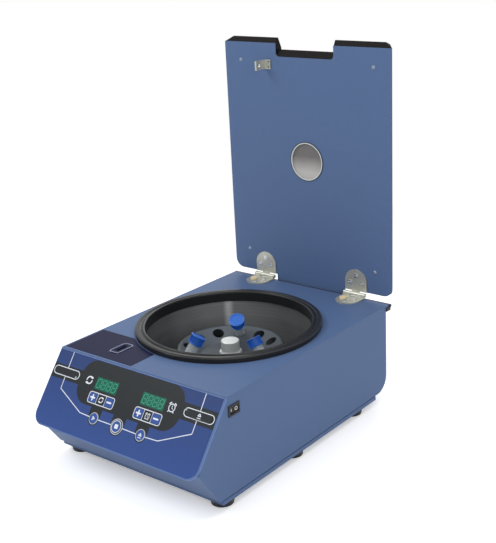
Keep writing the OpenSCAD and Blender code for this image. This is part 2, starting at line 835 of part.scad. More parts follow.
module power_inlet() {
    color(dark) translate([inlet_x, rear_y, inlet_z]) difference() {
        union() {
            translate([-inlet_w / 2, 0.05, -inlet_h / 2]) cube([inlet_w, 2.4, inlet_h]);
            translate([0.5 + inlet_lip / 2 - inlet_w / 2, -inlet_depth, inlet_lip - inlet_h / 2])
                cube([inlet_w - inlet_lip - 1, inlet_depth + 0.1, inlet_h - 2 * inlet_lip]);
        }
        translate([-inlet_w / 4, 3 - inlet_depth, -8]) cube([inlet_w / 2, 20, 16]);
    }
}

module inlet_pins() {
    color(zinc) for (x = [-7, 0, 7])
        translate([inlet_x + x - 1, rear_y + 3.01 - inlet_depth, inlet_z - 2 + (x == 0 ? 3 : -1)])
            cube([2, 11, 4]);
}

module feet() {
    color([0.07, 0.07, 0.07]) for (i = [0:2]) both_sides(foot_x)
        translate([0, foot_front_y + i * foot_pitch, 0]) difference() {
            union() {
                cylinder(r1 = foot_r - 1.5, r2 = foot_r, h = foot_h - 0.05);
                cylinder(r = foot_r - 2.5, h = foot_h - 0.05);
            }
            translate([0, 0, -1]) cylinder(r = 5, h = foot_h - 2.5);
            cylinder(r = 2.2, h = 20);
        }
}

module foot_screws() {
    color(zinc) for (i = [0:2]) both_sides(foot_x)
        translate([0, foot_front_y + i * foot_pitch, 0]) union() {
            translate([0, 0, foot_h - 6]) cylinder(r = 4, h = 2.45);
            translate([0, 0, foot_h - 4]) cylinder(r = 2.15, h = 4 + sheet_t + 3);
            translate([0, 0, tray_floor + 0.05]) cylinder(r = 4, h = 2.4, $fn = 6);
        }
}

// A D-shaped leaf outline, with the pin along its lower edge at y = 0.
module leaf_outline() {
    r = hinge_w / 2;
    union() {
        translate([-r, 3.6]) square([hinge_w, leaf_len - r - 3.6]);
        intersection() {
            translate([0, leaf_len - r]) circle(r);
            translate([-r, leaf_len - r]) square([hinge_w, r]);
        }
    }
}

module leaf_holes() {
    translate([0, 28]) children();
    translate([-10.5, 17]) children();
    translate([10.5, 17]) children();
}

module deck_screw_places() {
    translate([0, hinge_y, 0]) mirror([0, 1, 0]) {
        translate([0, 28, 0]) children();
        translate([10.5, 17, 0]) children();
    }
}

// Knuckles of a leaf along the pin: two outer ones, or the middle one.
module knuckles(outer) {
    w = hinge_w / 3;
    for (i = outer ? [-1, 1] : [0]) translate([i * w - w / 2 + 0.15, 0, 0])
        rotate([0, 90, 0]) cylinder(r = barrel_r, h = w - 0.3, $fn = 32);
}

module hinge_deck_leaf() {
    color(zinc) difference() {
        union() {
            translate([0, hinge_y, deck_z + 0.05]) linear_extrude(leaf_t) mirror([0, 1]) difference() {
                leaf_outline();
                translate([0, 28]) circle(1.7, $fn = 24);
                translate([10.5, 17]) circle(1.7, $fn = 24);
                translate([-10.5, 17]) circle(2.2, $fn = 24);
            }
            translate([0, hinge_y, hinge_z]) knuckles(true);
            for (i = [-1, 1]) translate([i * hinge_w / 3 - hinge_w / 6 + 0.15, hinge_y - 4.4, deck_z + 0.05])
                cube([hinge_w / 3 - 0.3, 2.8, hinge_z - 1 - deck_z]);
        }
        translate([-50, hinge_y, hinge_z]) rotate([0, 90, 0]) cylinder(r = pin_r + run_gap, h = 100, $fn = 32);
    }
}

module hinge_deck_leaves() {
    both_sides(hinge_x) hinge_deck_leaf();
}

module hinge_lid_leaf() {
    color(zinc) difference() {
        union() {
            translate([0, 0, hinge_z]) upright(lid_y - leaf_t - 0.05, leaf_t) difference() {
                leaf_outline();
                leaf_holes() circle(1.7, $fn = 24);
            }
            translate([0, hinge_y, hinge_z]) knuckles(false);
            translate([-hinge_w / 6 + 0.15, hinge_y + pin_r + 0.3, hinge_z + 0.8])
                cube([hinge_w / 3 - 0.3, lid_offset - pin_r - 0.35, 3.4]);
        }
        translate([-50, hinge_y, hinge_z]) rotate([0, 90, 0]) cylinder(r = pin_r + run_gap, h = 100, $fn = 32);
    }
}

module hinge_lid_leaves() {
    both_sides(hinge_x) hinge_lid_leaf();
}

module hinge_pins() {
    color(zinc) both_sides(hinge_x) translate([-hinge_w / 2 - 0.6, hinge_y, hinge_z])
        rotate([0, 90, 0]) union() {
            cylinder(r = pin_r, h = hinge_w + 1.2, $fn = 32);
            cylinder(r = pin_r + 0.8, h = 0.55, $fn = 32);
            translate([0, 0, hinge_w + 0.65]) cylinder(r = pin_r + 0.8, h = 0.55, $fn = 32);
        }
}

module screw() {
    difference() {
        union() {
            cylinder(r = 3, h = 1.1, $fn = 24);
            translate([0, 0, -5.5]) cylinder(r = 1.6, h = 6, $fn = 24);
        }
        translate([-4, -0.4, 0.6]) cube([8, 0.8, 2]);
    }
}

module hinge_deck_screws() {
    color(zinc) both_sides(hinge_x) deck_screw_places() translate([0, 0, deck_z + leaf_t + 0.1]) screw();
}

module hinge_pads() {
    color([0.86, 0.78, 0.62]) both_sides(hinge_x)
        translate([-8.6, hinge_y - 19, deck_z + leaf_t + 0.1]) difference() {
            cylinder(r = 5.8, h = 2.3, $fn = 48);
            translate([0, 0, 2.8]) sphere(r = 1.4, $fn = 24);
        }
}

module hinge_lid_screws() {
    color(zinc) both_sides(hinge_x) translate([0, lid_y - leaf_t - 0.1, hinge_z]) rotate([90, 0, 0])
        leaf_holes() screw();
}

module lid_outline(g = 0) {
    w = lid_w - 2 * g;
    z0 = lid_low_z + g;
    z1 = lid_top_z - g;
    r = lid_r - g;
    difference() {
        union() {
            translate([-w / 2, z0 + r]) square([w, z1 - z0 - r]);
            translate([-w / 2 + r, z0]) square([w - 2 * r, r + 1]);
            for (s = [-1, 1]) translate([s * (w / 2 - r), z0 + r]) circle(r);
            // the tongue between the hinges
            translate([-hinge_x + hinge_w / 2 + 2, tongue_z])
                square([2 * hinge_x - hinge_w - 4, lid_low_z + 2 - tongue_z]);
        }
        translate([-notch_w / 2 + 6, z1 - notch_d]) square([notch_w - 12, notch_d + 10]);
        translate([-notch_w / 2, z1 - notch_d + 6]) square([notch_w, notch_d + 10]);
        for (s = [-1, 1]) translate([s * (notch_w / 2 - 6), z1 - notch_d + 6]) circle(6);
    }
}

module lid_plate() {
    color(blue) upright(lid_y, lid_plate_t) difference() {
        lid_outline();
        translate([0, pane_z]) circle(pane_r, $fn = 96);
        for (s = [-1, 1], z = rivet_z) translate([s * rivet_x, z]) circle(1.6, $fn = 24);
        for (s = [-1, 1]) translate([s * hinge_x, hinge_z]) leaf_holes() circle(1.7, $fn = 24);
        for (d = [-4, 4]) translate([lock_x + 7, strike_z + d]) circle(1.3, $fn = 24);
    }
}

// Side profile of the outer cover: flat against the plate, a raised lip at the free end and a flat back.
module cover_side(g = 0) {
    y0 = lid_y + lid_plate_t;
    y1 = y0 + lid_cover_t;
    z0 = lid_low_z + g * 1.4;
    z1 = lid_top_z;
    lip_z = z1 + lip_rise - g * 1.6;
    a = g > 0 ? 1 : 0;
    polygon([
        [y0 - a, z0], [y0 - a, z1 - g], [y0 + 4.1, lip_z], [y0 + 6.6, lip_z],
        [y1 - g, z1 - 8 - g], [y1 - g, lid_low_z + 10 + g], [y0 + 2, z0]
    ]);
}

module cover_top(g = 0) {
    y0 = lid_y + lid_plate_t;
    w = lid_w / 2;
    in_x = w - lid_cover_t;
    a = g > 0 ? 1 : 0;
    polygon([
        [-w + g * 1.5, y0 - a], [w - g * 1.5, y0 - a], [w - g * 1.5, y0 + 0.4], [in_x - g, y0 + lid_cover_t - g],
        [-in_x + g, y0 + lid_cover_t - g], [-w + g * 1.5, y0 + 0.4]
    ]);
}

module cover_front(g = 0) {
    w = lid_w / 2 - g;
    z1 = lid_top_z;
    r = lid_r;
    c = 13.5;
    n = notch_w / 2 + g;
    nz = z1 - notch_d - g;
    difference() {
        union() {
            polygon([
                [-w, lid_low_z + r], [w, lid_low_z + r], [w, z1 - g], [w - c, z1 + lip_rise - g],
                [-w + c, z1 + lip_rise - g], [-w, z1 - g]
            ]);
            translate([-w + r, lid_low_z + g]) square([2 * (w - r), r + 1]);
            for (s = [-1, 1]) translate([s * (lid_w / 2 - r), lid_low_z + r]) circle(r - g);
        }
        translate([-n, nz]) square([2 * n, notch_d + 30]);
    }
}

// The wedge of cover that fills the notch behind the plate, up to the grip edge.
module notch_sill() {
    y0 = lid_y + lid_plate_t;
    z0 = lid_top_z - notch_d;
    intersection() {
        along_x(-notch_w / 2 - eps, notch_w + 2 * eps) polygon([
            [y0, z0 - eps], [y0, z0 + 0.3], [y0 + 4.6, z0 + 10], [y0 + 8, z0 + 10], [y0 + lid_cover_t, z0 - eps]
        ]);
        translate([0, y0 - 1, 0]) cube([lid_w, 100, 2000], center = true);
    }
}

module cover_block(g = 0) {
    intersection() {
        along_x(-lid_w / 2, lid_w) cover_side(g);
        linear_extrude(lid_top_z + 50) cover_top(g);
        upright(lid_y - 5, lid_cover_t + 30) cover_front(g);
    }
}

module lid_cover() {
    wall = lid_cover_wall;
    y0 = lid_y + lid_plate_t + 0.05;
    color([0.13, 0.11, 0.11]) translate([0, 0.05, 0]) difference() {
        union() {
            difference() {
                cover_block();
                cover_block(wall);
            }
            notch_sill();
            // collar round the pane, screw bosses and hinge backing strip
            translate([0, y0 - 0.05, pane_z]) rotate([-90, 0, 0])
                cylinder(r = pane_r + 5.5, h = lid_cover_t - 0.05, $fn = 96);
            for (s = [-1, 1], z = rivet_z)
                translate([s * rivet_x, y0 - 0.05, z]) rotate([-90, 0, 0])
                    cylinder(r = 4.5, h = lid_cover_t - 1, $fn = 32);
        }
        translate([0, y0 - 1, pane_z]) rotate([-90, 0, 0]) cylinder(r = pane_r - 1, h = lid_cover_t + 5, $fn = 96);
        translate([0, y0 - 1, pane_z]) rotate([-90, 0, 0]) cylinder(r = pane_r + 2.6, h = 4.2, $fn = 96);
        for (s = [-1, 1], z = rivet_z)
            translate([s * rivet_x, y0 - 1, z]) rotate([-90, 0, 0]) cylinder(r = 1.6, h = 8, $fn = 24);
    }
}

module lid_pane() {
    color([0.5, 0.45, 0.4, 0.4]) translate([0, lid_y + lid_plate_t + 0.1, pane_z]) rotate([-90, 0, 0])
        cylinder(r = pane_r + 2.4, h = 3, $fn = 96);
}

module pane_ring() {
    color([0.75, 0.75, 0.72]) translate([0, lid_y - 0.8, pane_z]) rotate([-90, 0, 0]) difference() {
        union() {
            cylinder(r = pane_r + 1.2, h = 0.75, $fn = 96);
            cylinder(r = pane_r - 0.05, h = 0.8 + lid_plate_t, $fn = 96);
        }
        translate([0, 0, -1]) cylinder(r = pane_r - 1.6, h = 10, $fn = 96);
    }
}

module lid_rivets() {
    color([0.8, 0.82, 0.85]) for (s = [-1, 1], z = rivet_z)
        translate([s * rivet_x, lid_y, z]) rotate([-90, 0, 0]) union() {
            translate([0, 0, -1.25]) cylinder(r1 = 1.8, r2 = 3, h = 1.2, $fn = 32);
            translate([0, 0, -0.1]) cylinder(r = 1.55, h = 7, $fn = 24);
        }
}

module striker() {
    color([0.5, 0.49, 0.46]) difference() {
        union() {
            translate([lock_x - striker_t / 2, lid_y - striker_l, strike_z - striker_w / 2])
                cube([striker_t, striker_l - 0.05, striker_w]);
            translate([lock_x - striker_t / 2, lid_y - 1.85, strike_z - striker_w / 2]) cube([12, 1.8, striker_w]);
        }
        translate([lock_x - 5, lid_y - striker_l + 6, strike_z]) rotate([0, 90, 0]) cylinder(r = bolt_r + 0.8, h = 10);
        for (d = [-4, 4]) translate([lock_x + 7, lid_y - 5, strike_z + d]) rotate([-90, 0, 0])
            cylinder(r = 1.3, h = 10, $fn = 24);
    }
}

translate([0, -mid_y, 0]) {
    base_tray();
    side_sheet_left();
    side_sheet_right();
    rear_wall();
    front_wall();
    top_cover();
    rear_bumper();
    front_panel();
    panel_overlay();
    display_windows();
    display_modules();
    control_board();
    panel_lamps();
    key_speed_up();
    key_speed_down();
    key_time_up();
    key_time_down();
    key_left();
    key_middle();
    key_right();
    key_lid();
    deck_label();
    slot_bezel();
    lock_body();
    lock_bolt();
    chamber_bowl();
    chamber_gasket();
    motor();
    motor_boot();
    motor_plate();
    motor_dampers();
    power_board();
    drive_shaft();
    rotor();
    rotor_knob();
    tube_a();
    tube_b();
    tube_c();
    cap_a();
    cap_b();
    cap_c();
    switch_housing();
    switch_rocker();
    power_inlet();
    inlet_pins();
    feet();
    foot_screws();
    hinge_deck_leaves();
    hinge_pins();
    hinge_deck_screws();
    hinge_pads();
    lid_plate();
    lid_cover();
    lid_pane();
    pane_ring();
    lid_rivets();
    striker();
    hinge_lid_leaves();
    hinge_lid_screws();
}
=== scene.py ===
import bpy
import bmesh
import math
from mathutils import Matrix, Vector


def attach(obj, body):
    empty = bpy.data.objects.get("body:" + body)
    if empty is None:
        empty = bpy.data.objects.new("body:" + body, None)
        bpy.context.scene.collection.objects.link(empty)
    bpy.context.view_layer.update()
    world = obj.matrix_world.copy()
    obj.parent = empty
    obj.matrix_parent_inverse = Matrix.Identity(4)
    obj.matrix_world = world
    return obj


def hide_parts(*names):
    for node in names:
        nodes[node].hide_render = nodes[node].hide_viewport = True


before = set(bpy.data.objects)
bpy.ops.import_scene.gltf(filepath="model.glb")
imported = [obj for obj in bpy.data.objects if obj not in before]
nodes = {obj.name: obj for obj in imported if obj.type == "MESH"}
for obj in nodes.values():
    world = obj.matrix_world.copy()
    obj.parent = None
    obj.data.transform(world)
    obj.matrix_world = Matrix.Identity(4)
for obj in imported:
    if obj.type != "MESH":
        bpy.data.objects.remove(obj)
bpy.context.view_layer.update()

# The drawing's own zero is 167.966 mm in front of the frame's, because the part is centred on its box.
drawing = {"middle": 0.167966, "deck": 0.153, "panelTilt": math.radians(52.6), "chamberY": 0.185}


# Camera, solved from the photographed corners. Its focal length, middle and image are in pixels.
cameraSetup = {
    "place": (0.90196, -1.01251, 0.69791),
    "azimuth": 37.62,
    "elevation": 18.83,
    "roll": -2.16,
    "focal": 1014.76,
    "middle": (286.61, 271.86),
    "image": (496, 543),
    "sensor": 36,
}


def aimCamera(setup):
    azimuth = math.radians(setup["azimuth"])
    elevation = math.radians(setup["elevation"])
    roll = math.radians(setup["roll"])
    back = Vector((math.sin(azimuth) * math.cos(elevation), -math.cos(azimuth) * math.cos(elevation),
                   math.sin(elevation)))
    right = (-back).cross(Vector((0, 0, 1))).normalized()
    up = right.cross(-back)
    turnedRight = right * math.cos(roll) + up * math.sin(roll)
    turnedUp = up * math.cos(roll) - right * math.sin(roll)
    bpy.ops.object.camera_add()
    camera = bpy.context.object
    wide, tall = setup["image"]
    camera.data.sensor_width = setup["sensor"]
    camera.data.lens = setup["focal"] * setup["sensor"] / tall
    camera.data.shift_x = (wide / 2 - setup["middle"][0]) / tall
    camera.data.shift_y = (setup["middle"][1] - tall / 2) / tall
    turned = Matrix((turnedRight, turnedUp, back)).transposed().to_4x4()
    camera.matrix_world = Matrix.Translation(setup["place"]) @ turned
    bpy.context.scene.camera = camera


aimCamera(cameraSetup)
print("camera placed")


class Wire:
    # A shader socket that takes part in Python expressions: each operator adds its node.
    def __init__(self, tree, socket=None):
        self.tree = tree
        self.socket = socket

    def node(self, kind, settings=None, sockets=None, out=0):
        made = self.tree.nodes.new("ShaderNode" + kind)
        for name, value in (settings or {}).items():
            setattr(made, name, value)
        for name, value in (sockets or {}).items():
            if isinstance(value, Wire):
                self.tree.links.new(value.socket, made.inputs[name])
            else:
                made.inputs[name].default_value = value
        return Wire(self.tree, made.outputs[out])

    def math(self, operation, first, second=0.0, clamp=False):
        return self.node("Math", {"operation": operation, "use_clamp": clamp}, {0: first, 1: second})

    def __add__(self, other):
        return self.math("ADD", self, other)

    __radd__ = __add__

    def __sub__(self, other):
        return self.math("SUBTRACT", self, other)

    def __rsub__(self, other):
        return self.math("SUBTRACT", other, self)

    def __mul__(self, other):
        return self.math("MULTIPLY", self, other)

    __rmul__ = __mul__

    def __truediv__(self, other):
        return self.math("DIVIDE", self, other)

    def __abs__(self):
        return self.math("ABSOLUTE", self)

    def least(self, other):
        return self.math("MINIMUM", self, other)

    def most(self, other):
        return self.math("MAXIMUM", self, other)

    def over(self, other):
        return self.math("GREATER_THAN", self, other)

    def clamped(self):
        return self.math("ADD", self, 0.0, True)

    def root(self):
        return self.math("SQRT", self)

    def blend(self, low, high):
        # Sockets 6, 7 and 2 are the Mix node's colour ones.
        return self.node("Mix", {"data_type": "RGBA"}, {0: self, 6: low, 7: high}, 2)

    def parts(self):
        return [self.node("SeparateXYZ", None, {0: self}, k) for k in range(3)]

    def grain(self, scale, detail=3.0, stretch=(1, 1, 1)):
        moved = self.node("Mapping", None, {"Vector": self, "Scale": stretch})
        return self.node("TexNoise", None, {"Vector": moved, "Scale": scale, "Detail": detail})


def tone(red, green, blue):
    # A colour as seen on screen, 0 to 255, made linear.
    shares = [value / 255 for value in (red, green, blue)]
    return tuple(((s + 0.055) / 1.055) ** 2.4 if s > 0.04045 else s / 12.92 for s in shares) + (1.0,)


def shaded(colour, factor):
    return tuple(min(1.0, channel * factor) for channel in colour[:3]) + (1.0,)


def mottled(noise, colour, spread, gain):
    # Two shades of one colour. The gain raises the noise's contrast about its middle.
    low, high = spread
    return (noise * gain - (gain - 1) / 2).clamped().blend(shaded(colour, low), shaded(colour, high))


def newFinish(name, fixed):
    material = bpy.data.materials.new(name)
    material.use_nodes = True
    tree = material.node_tree
    shader = tree.nodes["Principled BSDF"]
    for socket, value in fixed.items():
        shader.inputs[socket].default_value = value
    start = Wire(tree)
    place = start.node("TexCoord", None, None, "Object")
    return material, shader, place


def plug(shader, socket, wire):
    wire.tree.links.new(wire.socket, shader.inputs[socket])


def bumped(place, height, strength, distance, radius=0.0):
    sockets = {"Height": height, "Strength": strength, "Distance": distance}
    if radius > 0:
        sockets["Normal"] = place.node("Bevel", {"samples": 4}, {"Radius": radius})
    return place.node("Bump", None, sockets)


def paintFinish(name, look):
    # Sprayed sheet metal: a fine leathery grain, faint cloudiness and slightly rubbed edges.
    material, shader, place = newFinish(name, {"Metallic": 0.0, "Specular IOR Level": look.get("shine", 0.2)})
    speck = place.grain(look["grain"], 2.0)
    cloud = place.grain(9.0, 3.0)
    base = look["colour"]
    sprayed = mottled(speck, base, (0.79, 1.2), 1.6)
    plug(shader, "Base Color", (cloud * 0.5).clamped().blend(sprayed, shaded(base, 1.1)))
    plug(shader, "Roughness", speck * 0.18 + look["rough"])
    plug(shader, "Normal", bumped(place, speck, look["bump"], 0.0002, look["edge"]))
    return material


def plasticFinish(name, look):
    material, shader, place = newFinish(name, {"Specular IOR Level": look.get("shine", 0.25)})
    speck = place.grain(look["grain"], 3.0)
    plug(shader, "Base Color", mottled(speck, look["colour"], (0.85, 1.15), 1.5))
    plug(shader, "Roughness", speck * 0.16 + look["rough"])
    plug(shader, "Normal", bumped(place, speck, look["bump"], 0.0002, look.get("edge", 0.0)))
    return material


def metalFinish(name, look):
    # Brushed or plated metal: the noise is drawn out along the brushing.
    material, shader, place = newFinish(name, {"Metallic": look["metal"]})
    brush = place.grain(look["grain"], 4.0, look["stretch"])
    cloud = place.grain(look.get("cloud", 60.0), 3.0)
    base = look["colour"]
    lines = mottled(brush, base, (1 - look["contrast"], 1 + look["contrast"]), 1.6)
    plug(shader, "Base Color", (cloud * 1.4 - 0.4).clamped().blend(lines, look.get("stain", base)))
    plug(shader, "Roughness", brush * 0.2 + cloud * 0.12 + look["rough"])
    plug(shader, "Normal", bumped(place, brush, look["bump"], 0.0001, look.get("edge", 0.0)))
    return material


def turnedFinish(name, look):
    # Turned metal: fine rings about the rotor's axis, worked out from the distance to it.
    material, shader, place = newFinish(name, {"Metallic": look["metal"]})
    across, along, height = place.parts()
    along = along - (drawing["chamberY"] - drawing["middle"])
    radius = (across * across + along * along).root()
    ringPlace = place.node("CombineXYZ", None, {0: radius * 1.0, 1: height * look["climb"], 2: 0.0})
    rings = ringPlace.grain(look["grain"], 2.0)
    cloud = place.grain(45.0, 4.0)
    base = look["colour"]
    lines = mottled(rings, base, (1 - look["contrast"], 1 + look["contrast"]), 1.8)
    finished = (cloud * 1.3 - 0.4).clamped().blend(lines, shaded(base, look.get("worn", 1.1)))
    for paintedHighlight in look.get("paintedHighlights", []):
        # A painted highlight: a bright stripe painted down the wall, at one angle about the axis, in place of
        # a reflection.
        angle = math.radians(paintedHighlight["angle"])
        facing = (across * math.cos(angle) + along * math.sin(angle)) / radius
        edge = math.cos(math.radians(paintedHighlight["half"]))
        highlightBand = ((facing - edge) / (1 - edge)).clamped()
        shine = (highlightBand * highlightBand * (rings * 0.5 + 0.6) * paintedHighlight["share"]).clamped()
        finished = shine.blend(finished, paintedHighlight["colour"])
    plug(shader, "Base Color", finished)
    plug(shader, "Roughness", rings * 0.14 + cloud * 0.16 + look["rough"])
    plug(shader, "Normal", bumped(place, rings, look["bump"], 0.0001, look.get("edge", 0.0)))
    return material


def ringFinish(name, look):
    # The window's ring: bright on its inner lip and dark round the outside.
    material, shader, place = newFinish(name, {"Metallic": 0.3})
    across, along, height = place.parts()
    rise = height - look["middle"]
    outside = (((across * across + rise * rise).root() - look["split"]) / 0.0002).clamped()
    grain = place.grain(500.0, 3.0)
    worn = (grain * 0.3).clamped().blend(outside.blend(look["inner"], look["outer"]), look["outer"])
    plug(shader, "Base Color", worn)
    plug(shader, "Roughness", grain * 0.15 + 0.25)
    return material


def clearFinish(name, look):
    material, shader, place = newFinish(name, {"Transmission Weight": look["clear"], "IOR": look["bend"],
                                               "Metallic": 0.0})
    haze = place.grain(look["grain"], 3.0)
    base = look["colour"]
    across, along, height = place.parts()
    # The colour darkens from the height low to the height high. On the window pane this is painted shade, in
    # place of the darker top of a reflection in the glass.
    slope = ((height - look["low"]) / (look["high"] - look["low"]) + haze * 0.3 - 0.15).clamped()
    plug(shader, "Base Color", slope.blend(shaded(base, 1.05), shaded(base, look["shadeAtHigh"])))
    plug(shader, "Roughness", haze * 0.1 + look["rough"])
    return material


# The printed front film. All places are millimetres: across from the middle, and down from the top edge.
filmPrint = {
    "field": {"middle": (0, 33.2), "half": (93, 30.6), "corner": 24},
    "bands": [((-121, 32), (30, 10)), ((121, 31), (30, 11))],
    "tabs": [((-43.6, 68), (10.5, 10)), ((0, 68), (12, 10)), ((42.6, 68), (10.5, 10))],
    "keyPads": [((-43, 77.3), 9.5), ((0, 77.3), 12), ((43, 77.3), 9.5)],
    "keyRows": [(-42.6, 51.8), (42.6, 51.8)],
    "rowHalf": (23.4, 7.4),
    "rowCorner": 3.4,
    "cellHalf": 7.65,
    "pills": [(-121, 31), (121, 31)],
    "pillHalf": (24.6, 5.7),
    "outline": 1.1,
    "lines": [
        [(-122, 1.5), (-121.5, 24)],
        [(-121, 38), (-120.4, 54.3), (-70.4, 76.2), (-51, 77)],
        [(-35, 77.4), (-10.5, 77.3)],
        [(10.5, 77.2), (35, 77.6)],
        [(51, 77.6), (72.9, 76.7), (120.4, 54.7), (120.2, 38.5)],
        [(120.6, 24), (119.7, 1.5)],
    ],
    "rings": [((-43, 77.3), 7.4), ((0, 77.3), 10), ((0, 77.3), 7.8), ((43, 77.3), 7.4)],
    "sign": (3.4, 2.3),
    "pluses": [(-57.9, 51.8), (27.3, 51.8)],
    "minuses": [(-27.3, 51.8), (57.9, 51.8)],
    "turnSigns": [((-75.5, 31.4), 6.0), ((-42.6, 51.8), 4.2)],
    "clockSigns": [((75.8, 31.4), 6.4), ((42.6, 51.8), 4.3)],
    "startSign": (-43, 77.3),
    "stopSign": (0, 77.3),
    "lidSigns": [(43, 77.3), (122, 30.6)],
    "blueLow": tone(50, 78, 142),
    "blueHigh": tone(38, 60, 112),
    "blueKey": tone(54, 84, 152),
    "black": tone(33, 37, 40),
    "white": tone(226, 232, 242),
}


class Film:
    # Distances on a printed face, in millimetres, as shader maths. A negative distance is inside a shape.
    def __init__(self, across, down):
        self.across = across
        self.down = down

    def away(self, middle):
        return self.across - middle[0], self.down - middle[1]

    def disc(self, middle, radius):
        dx, dy = self.away(middle)
        return (dx * dx + dy * dy).root() - radius

    def slab(self, middle, half, corner):
        dx, dy = self.away(middle)
        outX = abs(dx) - (half[0] - corner)
        outY = abs(dy) - (half[1] - corner)
        farX = outX.most(0.0)
        farY = outY.most(0.0)
        return (farX * farX + farY * farY).root() + outX.most(outY).least(0.0) - corner

    def stroke(self, start, end, width):
        dx, dy = self.away(start)
        runX = end[0] - start[0]
        runY = end[1] - start[1]
        share = ((dx * runX + dy * runY) / (runX * runX + runY * runY)).clamped()
        offX = dx - share * runX
        offY = dy - share * runY
        return (offX * offX + offY * offY).root() - width / 2

    def path(self, points, width):
        return nearest([self.stroke(a, b, width) for a, b in zip(points, points[1:])])

    def outlined(self, shape, width):
        return abs(shape) - width / 2


def panelFilm(place):
    across, along, height = place.parts()
    tilt = drawing["panelTilt"]
    down = (along + drawing["middle"]) * -math.cos(tilt) + (height - drawing["deck"]) * -math.sin(tilt)
    return Film(across * 1000, down * 1000)


def deckFilm(place):
    across, along, height = place.parts()
    return Film(across * 1000, (along + drawing["middle"]) * 1000)


def nearest(shapes):
    found = shapes[0]
    for shape in shapes[1:]:
        found = found.least(shape)
    return found


def inked(shape, blur=0.12):
    # A soft edge of a fraction of a millimetre, so that fine lines stay smooth.
    return (0.5 - shape / (2 * blur)).clamped()


def turnSign(film, middle, size):
    # Two curved arrows that chase each other.
    dx, dy = film.away(middle)
    ring = film.outlined(film.disc(middle, size * 0.8), size * 0.3)
    gap = abs(dx * 0.5 + dy * 0.87) - size * 0.3
    arcs = ring.most(gap * -1.0)
    heads = []
    for side in (1, -1):
        tip = (middle[0] + side * size * 0.7, middle[1] - side * size * 0.62)
        heads.append(film.stroke(tip, (tip[0] - side * size * 0.35, tip[1] - side * size * 0.1), size * 0.46))
    return nearest([arcs] + heads)


def clockSign(film, middle, size):
    x, y = middle
    face = film.outlined(film.disc((x, y + size * 0.1), size * 0.78), size * 0.2)
    hands = film.path([(x, y - size * 0.3), (x, y + size * 0.15), (x + size * 0.3, y + size * 0.3)],
                      size * 0.14)
    ends = []
    for side in (size, -size):
        bell = film.stroke((x + side * 0.85, y - size * 0.62), (x + side * 0.5, y - size * 0.92), size * 0.24)
        foot = film.stroke((x + side * 0.5, y + size * 0.75), (x + side * 0.72, y + size * 0.98), size * 0.2)
        ends += [bell, foot]
    return nearest([face, hands] + ends)


def triangleSign(film, middle, size, up):
    # A plain filled triangle, pointing right or up.
    x, y = middle
    if up:
        corners = [(x - size, y + size * 0.6), (x, y - size * 0.7), (x + size, y + size * 0.6)]
    else:
        corners = [(x - size * 0.7, y - size), (x + size * 0.9, y), (x - size * 0.7, y + size)]
    return film.path(corners + corners[:1], size * 0.5)


def filmFinish(name, look):
    material, shader, place = newFinish(name, {"Metallic": 0.0, "Specular IOR Level": 0.15})
    film = panelFilm(place)
    slope = (film.down / 110.0).clamped()
    blue = slope.blend(look["blueHigh"], look["blueLow"])
    field = look["field"]
    black = [film.slab(field["middle"], field["half"], field["corner"])]
    black += [film.slab(middle, half, 0.4) for middle, half in look["bands"]]
    black += [film.slab(middle, half, 1.0) for middle, half in look["tabs"]]
    black += [film.disc(middle, radius) for middle, radius in look["keyPads"]]
    colour = inked(nearest(black), 0.25).blend(blue, look["black"])
    keyFaces = [film.slab((x + side * 2 * look["cellHalf"], t), (7.2, 6.4), 1.6) for x, t in look["keyRows"]
                for side in (-1, 1)]
    keyFaces += [film.disc(middle, radius) for middle, radius in look["rings"][:1] + look["rings"][2:]]
    colour = inked(nearest(keyFaces), 0.2).blend(colour, look["blueKey"])
    width = look["outline"]
    rows = [film.slab(middle, look["rowHalf"], look["rowCorner"]) for middle in look["keyRows"]]
    pills = [film.slab(middle, look["pillHalf"], look["pillHalf"][1]) for middle in look["pills"]]
    white = [film.outlined(shape, width) for shape in rows + pills]
    white += [film.stroke((x + side, t - 7), (x + side, t + 7), width * 0.8)
              for x, t in look["keyRows"] for side in (-look["cellHalf"], look["cellHalf"])]
    white += [film.path(points, width) for points in look["lines"]]
    white += [film.outlined(film.disc(middle, radius), width * 0.85) for middle, radius in look["rings"]]
    arm, thick = look["sign"]
    white += [film.stroke((x - arm, t), (x + arm, t), thick) for x, t in look["pluses"] + look["minuses"]]
    white += [film.stroke((x, t - arm), (x, t + arm), thick) for x, t in look["pluses"]]
    white += [turnSign(film, middle, size) for middle, size in look["turnSigns"]]
    white += [clockSign(film, middle, size) for middle, size in look["clockSigns"]]
    white.append(triangleSign(film, look["startSign"], 2.2, False))
    white.append(film.slab(look["stopSign"], (2.9, 2.9), 0.4))
    white += [triangleSign(film, (x, t - 0.7), 2.3, True) for x, t in look["lidSigns"]]
    white += [film.stroke((x - 2.6, t + 3.4), (x + 2.6, t + 3.4), 1.0) for x, t in look["lidSigns"]]
    colour = inked(nearest(white)).blend(colour, look["white"])
    grain = place.grain(1500.0, 2.0)
    plug(shader, "Base Color", (grain * 0.2).clamped().blend(colour, look["black"]))
    plug(shader, "Roughness", grain * 0.12 + 0.3)
    plug(shader, "Normal", bumped(place, grain, 0.1, 0.0001, 0.0003))
    return material


def labelFinish(name, look):
    # The deck's dark sticker, and the light line that runs round the lock slot's frame.
    material, shader, place = newFinish(name, {"Metallic": 0.0, "Specular IOR Level": 0.08})
    grain = place.grain(900.0, 3.0)
    base = look["colour"]
    film = deckFilm(place)
    border = film.outlined(film.slab(look["middle"], look["half"], look["corner"]), look["line"])
    dark = grain.blend(shaded(base, 0.85), shaded(base, 1.15))
    plug(shader, "Base Color", inked(border, 0.2).blend(dark, look["border"]))
    plug(shader, "Roughness", grain * 0.15 + 0.34)
    plug(shader, "Normal", bumped(place, grain, 0.12, 0.0001))
    return material


